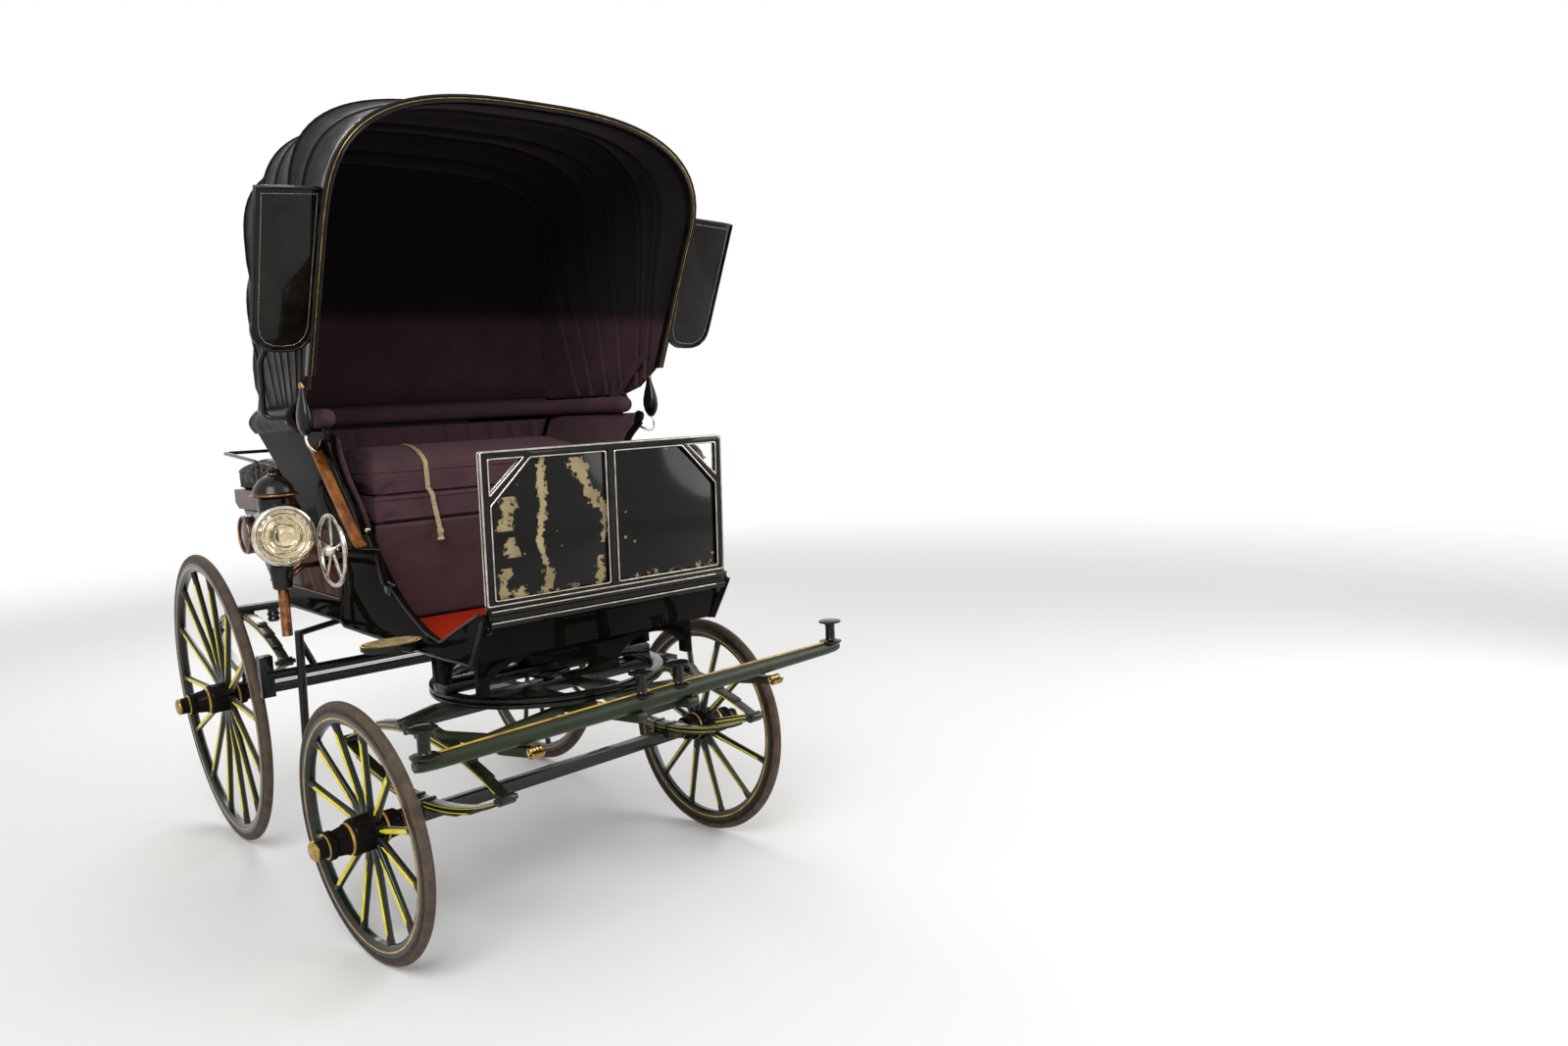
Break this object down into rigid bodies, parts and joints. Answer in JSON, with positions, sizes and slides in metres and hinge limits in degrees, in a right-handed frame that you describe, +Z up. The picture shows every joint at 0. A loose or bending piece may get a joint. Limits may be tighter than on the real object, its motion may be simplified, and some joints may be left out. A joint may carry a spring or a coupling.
{
  "type": "hooded demi mail phaeton carriage",
  "caption": "Black hooded four wheeled horse carriage with a cushioned driving seat, tall dash, groom's seat behind, splinter bar and elliptic springs",
  "frame": {"origin": "on the ground, at the middle of the overall length and width", "axes": "+Z up, front faces -Y, the carriage's left is +X"},
  "size_m": [1.786, 2.7507, 2.7275],
  "materials": {
    "black_cloth": "black leather cushion",
    "black_iron": "black gloss paint",
    "black_panel": "black lacquer over timber",
    "brass": "polished brass",
    "brown_panel": "brown varnish over timber",
    "brown_wood": "brown varnished board",
    "copper": "worn copper and brass",
    "glass": "clear pressed glass",
    "green_iron": "dark green gloss paint",
    "green_wood": "dark green gloss paint over ash",
    "hood_leather": "black hood leather",
    "lamp_black": "black japanned lamp",
    "patent_leather": "black patent leather, worn",
    "purple_cloth": "purple-brown box cloth",
    "red_carpet": "red ribbed carpet",
    "steel": "bright polished iron",
    "step_pad": "worn step tread",
    "tyre": "brown-grey solid rubber"
  },
  "bodies": {
    "carriage": {"back_cushion": "purple_cloth", "boot": "brown_panel", "brake_bar": "black_iron", "brake_shaft": "black_iron", "brake_wheel": "steel", "carpet": "red_carpet", "dash_frame": "black_iron", "dash_leather": "patent_leather", "driver_cushion": "purple_cloth", "floor": "black_panel", "front_pillow": "black_panel", "front_transom": "black_panel", "hood_hoop": "patent_leather", "hood_irons": "black_iron", "hood_leather": "hood_leather", "hood_wing_left": "patent_leather", "hood_wing_right": "patent_leather", "lamp_left": "lamp_black", "lamp_lenses": "glass", "lamp_right": "lamp_black", "lamp_stems": "copper", "rear_axle": "green_iron", "rear_bed": "black_iron", "rear_cushion": "black_cloth", "rear_rail": "black_iron", "rear_seat_board": "brown_wood", "rear_spring_left": "green_iron", "rear_spring_right": "green_iron", "seat_back": "black_panel", "seat_box": "black_panel", "seat_cushion": "purple_cloth", "seat_fall": "purple_cloth", "seat_roll": "purple_cloth", "seat_side_left": "black_panel", "seat_side_right": "black_panel", "side_panel_left": "black_panel", "side_panel_right": "black_panel", "steps": "step_pad", "top_bed": "black_iron", "top_ring": "black_iron"},
    "fore_carriage": {"fore_bed": "green_wood", "fore_ring": "black_iron", "front_axle": "green_iron", "front_spring_left": "green_iron", "front_spring_right": "green_iron", "futchells": "green_wood", "roller_bolts": "black_iron", "splinter_bar": "green_wood", "stay_scrolls": "brass"},
    "front_left_wheel": {"front_wheel_left": "green_wood", "front_tyre_left": "tyre"},
    "front_right_wheel": {"front_wheel_right": "green_wood", "front_tyre_right": "tyre"},
    "rear_left_wheel": {"rear_wheel_left": "green_wood", "rear_tyre_left": "tyre"},
    "rear_right_wheel": {"rear_wheel_right": "green_wood", "rear_tyre_right": "tyre"}
  },
  "joints": [
    {"name": "steering", "type": "hinge", "parent": "carriage", "child": "fore_carriage", "pos_m": [0, -0.655, 0.74], "axis": [0, 0, 1], "range_deg": [-35.1, 24.9]},
    {"name": "front_left_wheel_spin", "type": "hinge", "parent": "fore_carriage", "child": "front_left_wheel", "pos_m": [0.70719, -0.59188, 0.418], "axis": [0.995, 0.0888, -0.0454], "continuous": true},
    {"name": "front_right_wheel_spin", "type": "hinge", "parent": "fore_carriage", "child": "front_right_wheel", "pos_m": [-0.70719, -0.71811, 0.418], "axis": [0.995, 0.0888, 0.0454], "continuous": true},
    {"name": "rear_left_wheel_spin", "type": "hinge", "parent": "carriage", "child": "rear_left_wheel", "pos_m": [0.71, 0.785, 0.59], "axis": [0.999, 0, -0.0454], "continuous": true},
    {"name": "rear_right_wheel_spin", "type": "hinge", "parent": "carriage", "child": "rear_right_wheel", "pos_m": [-0.71, 0.785, 0.59], "axis": [0.999, 0, 0.0454], "continuous": true}
  ]
}
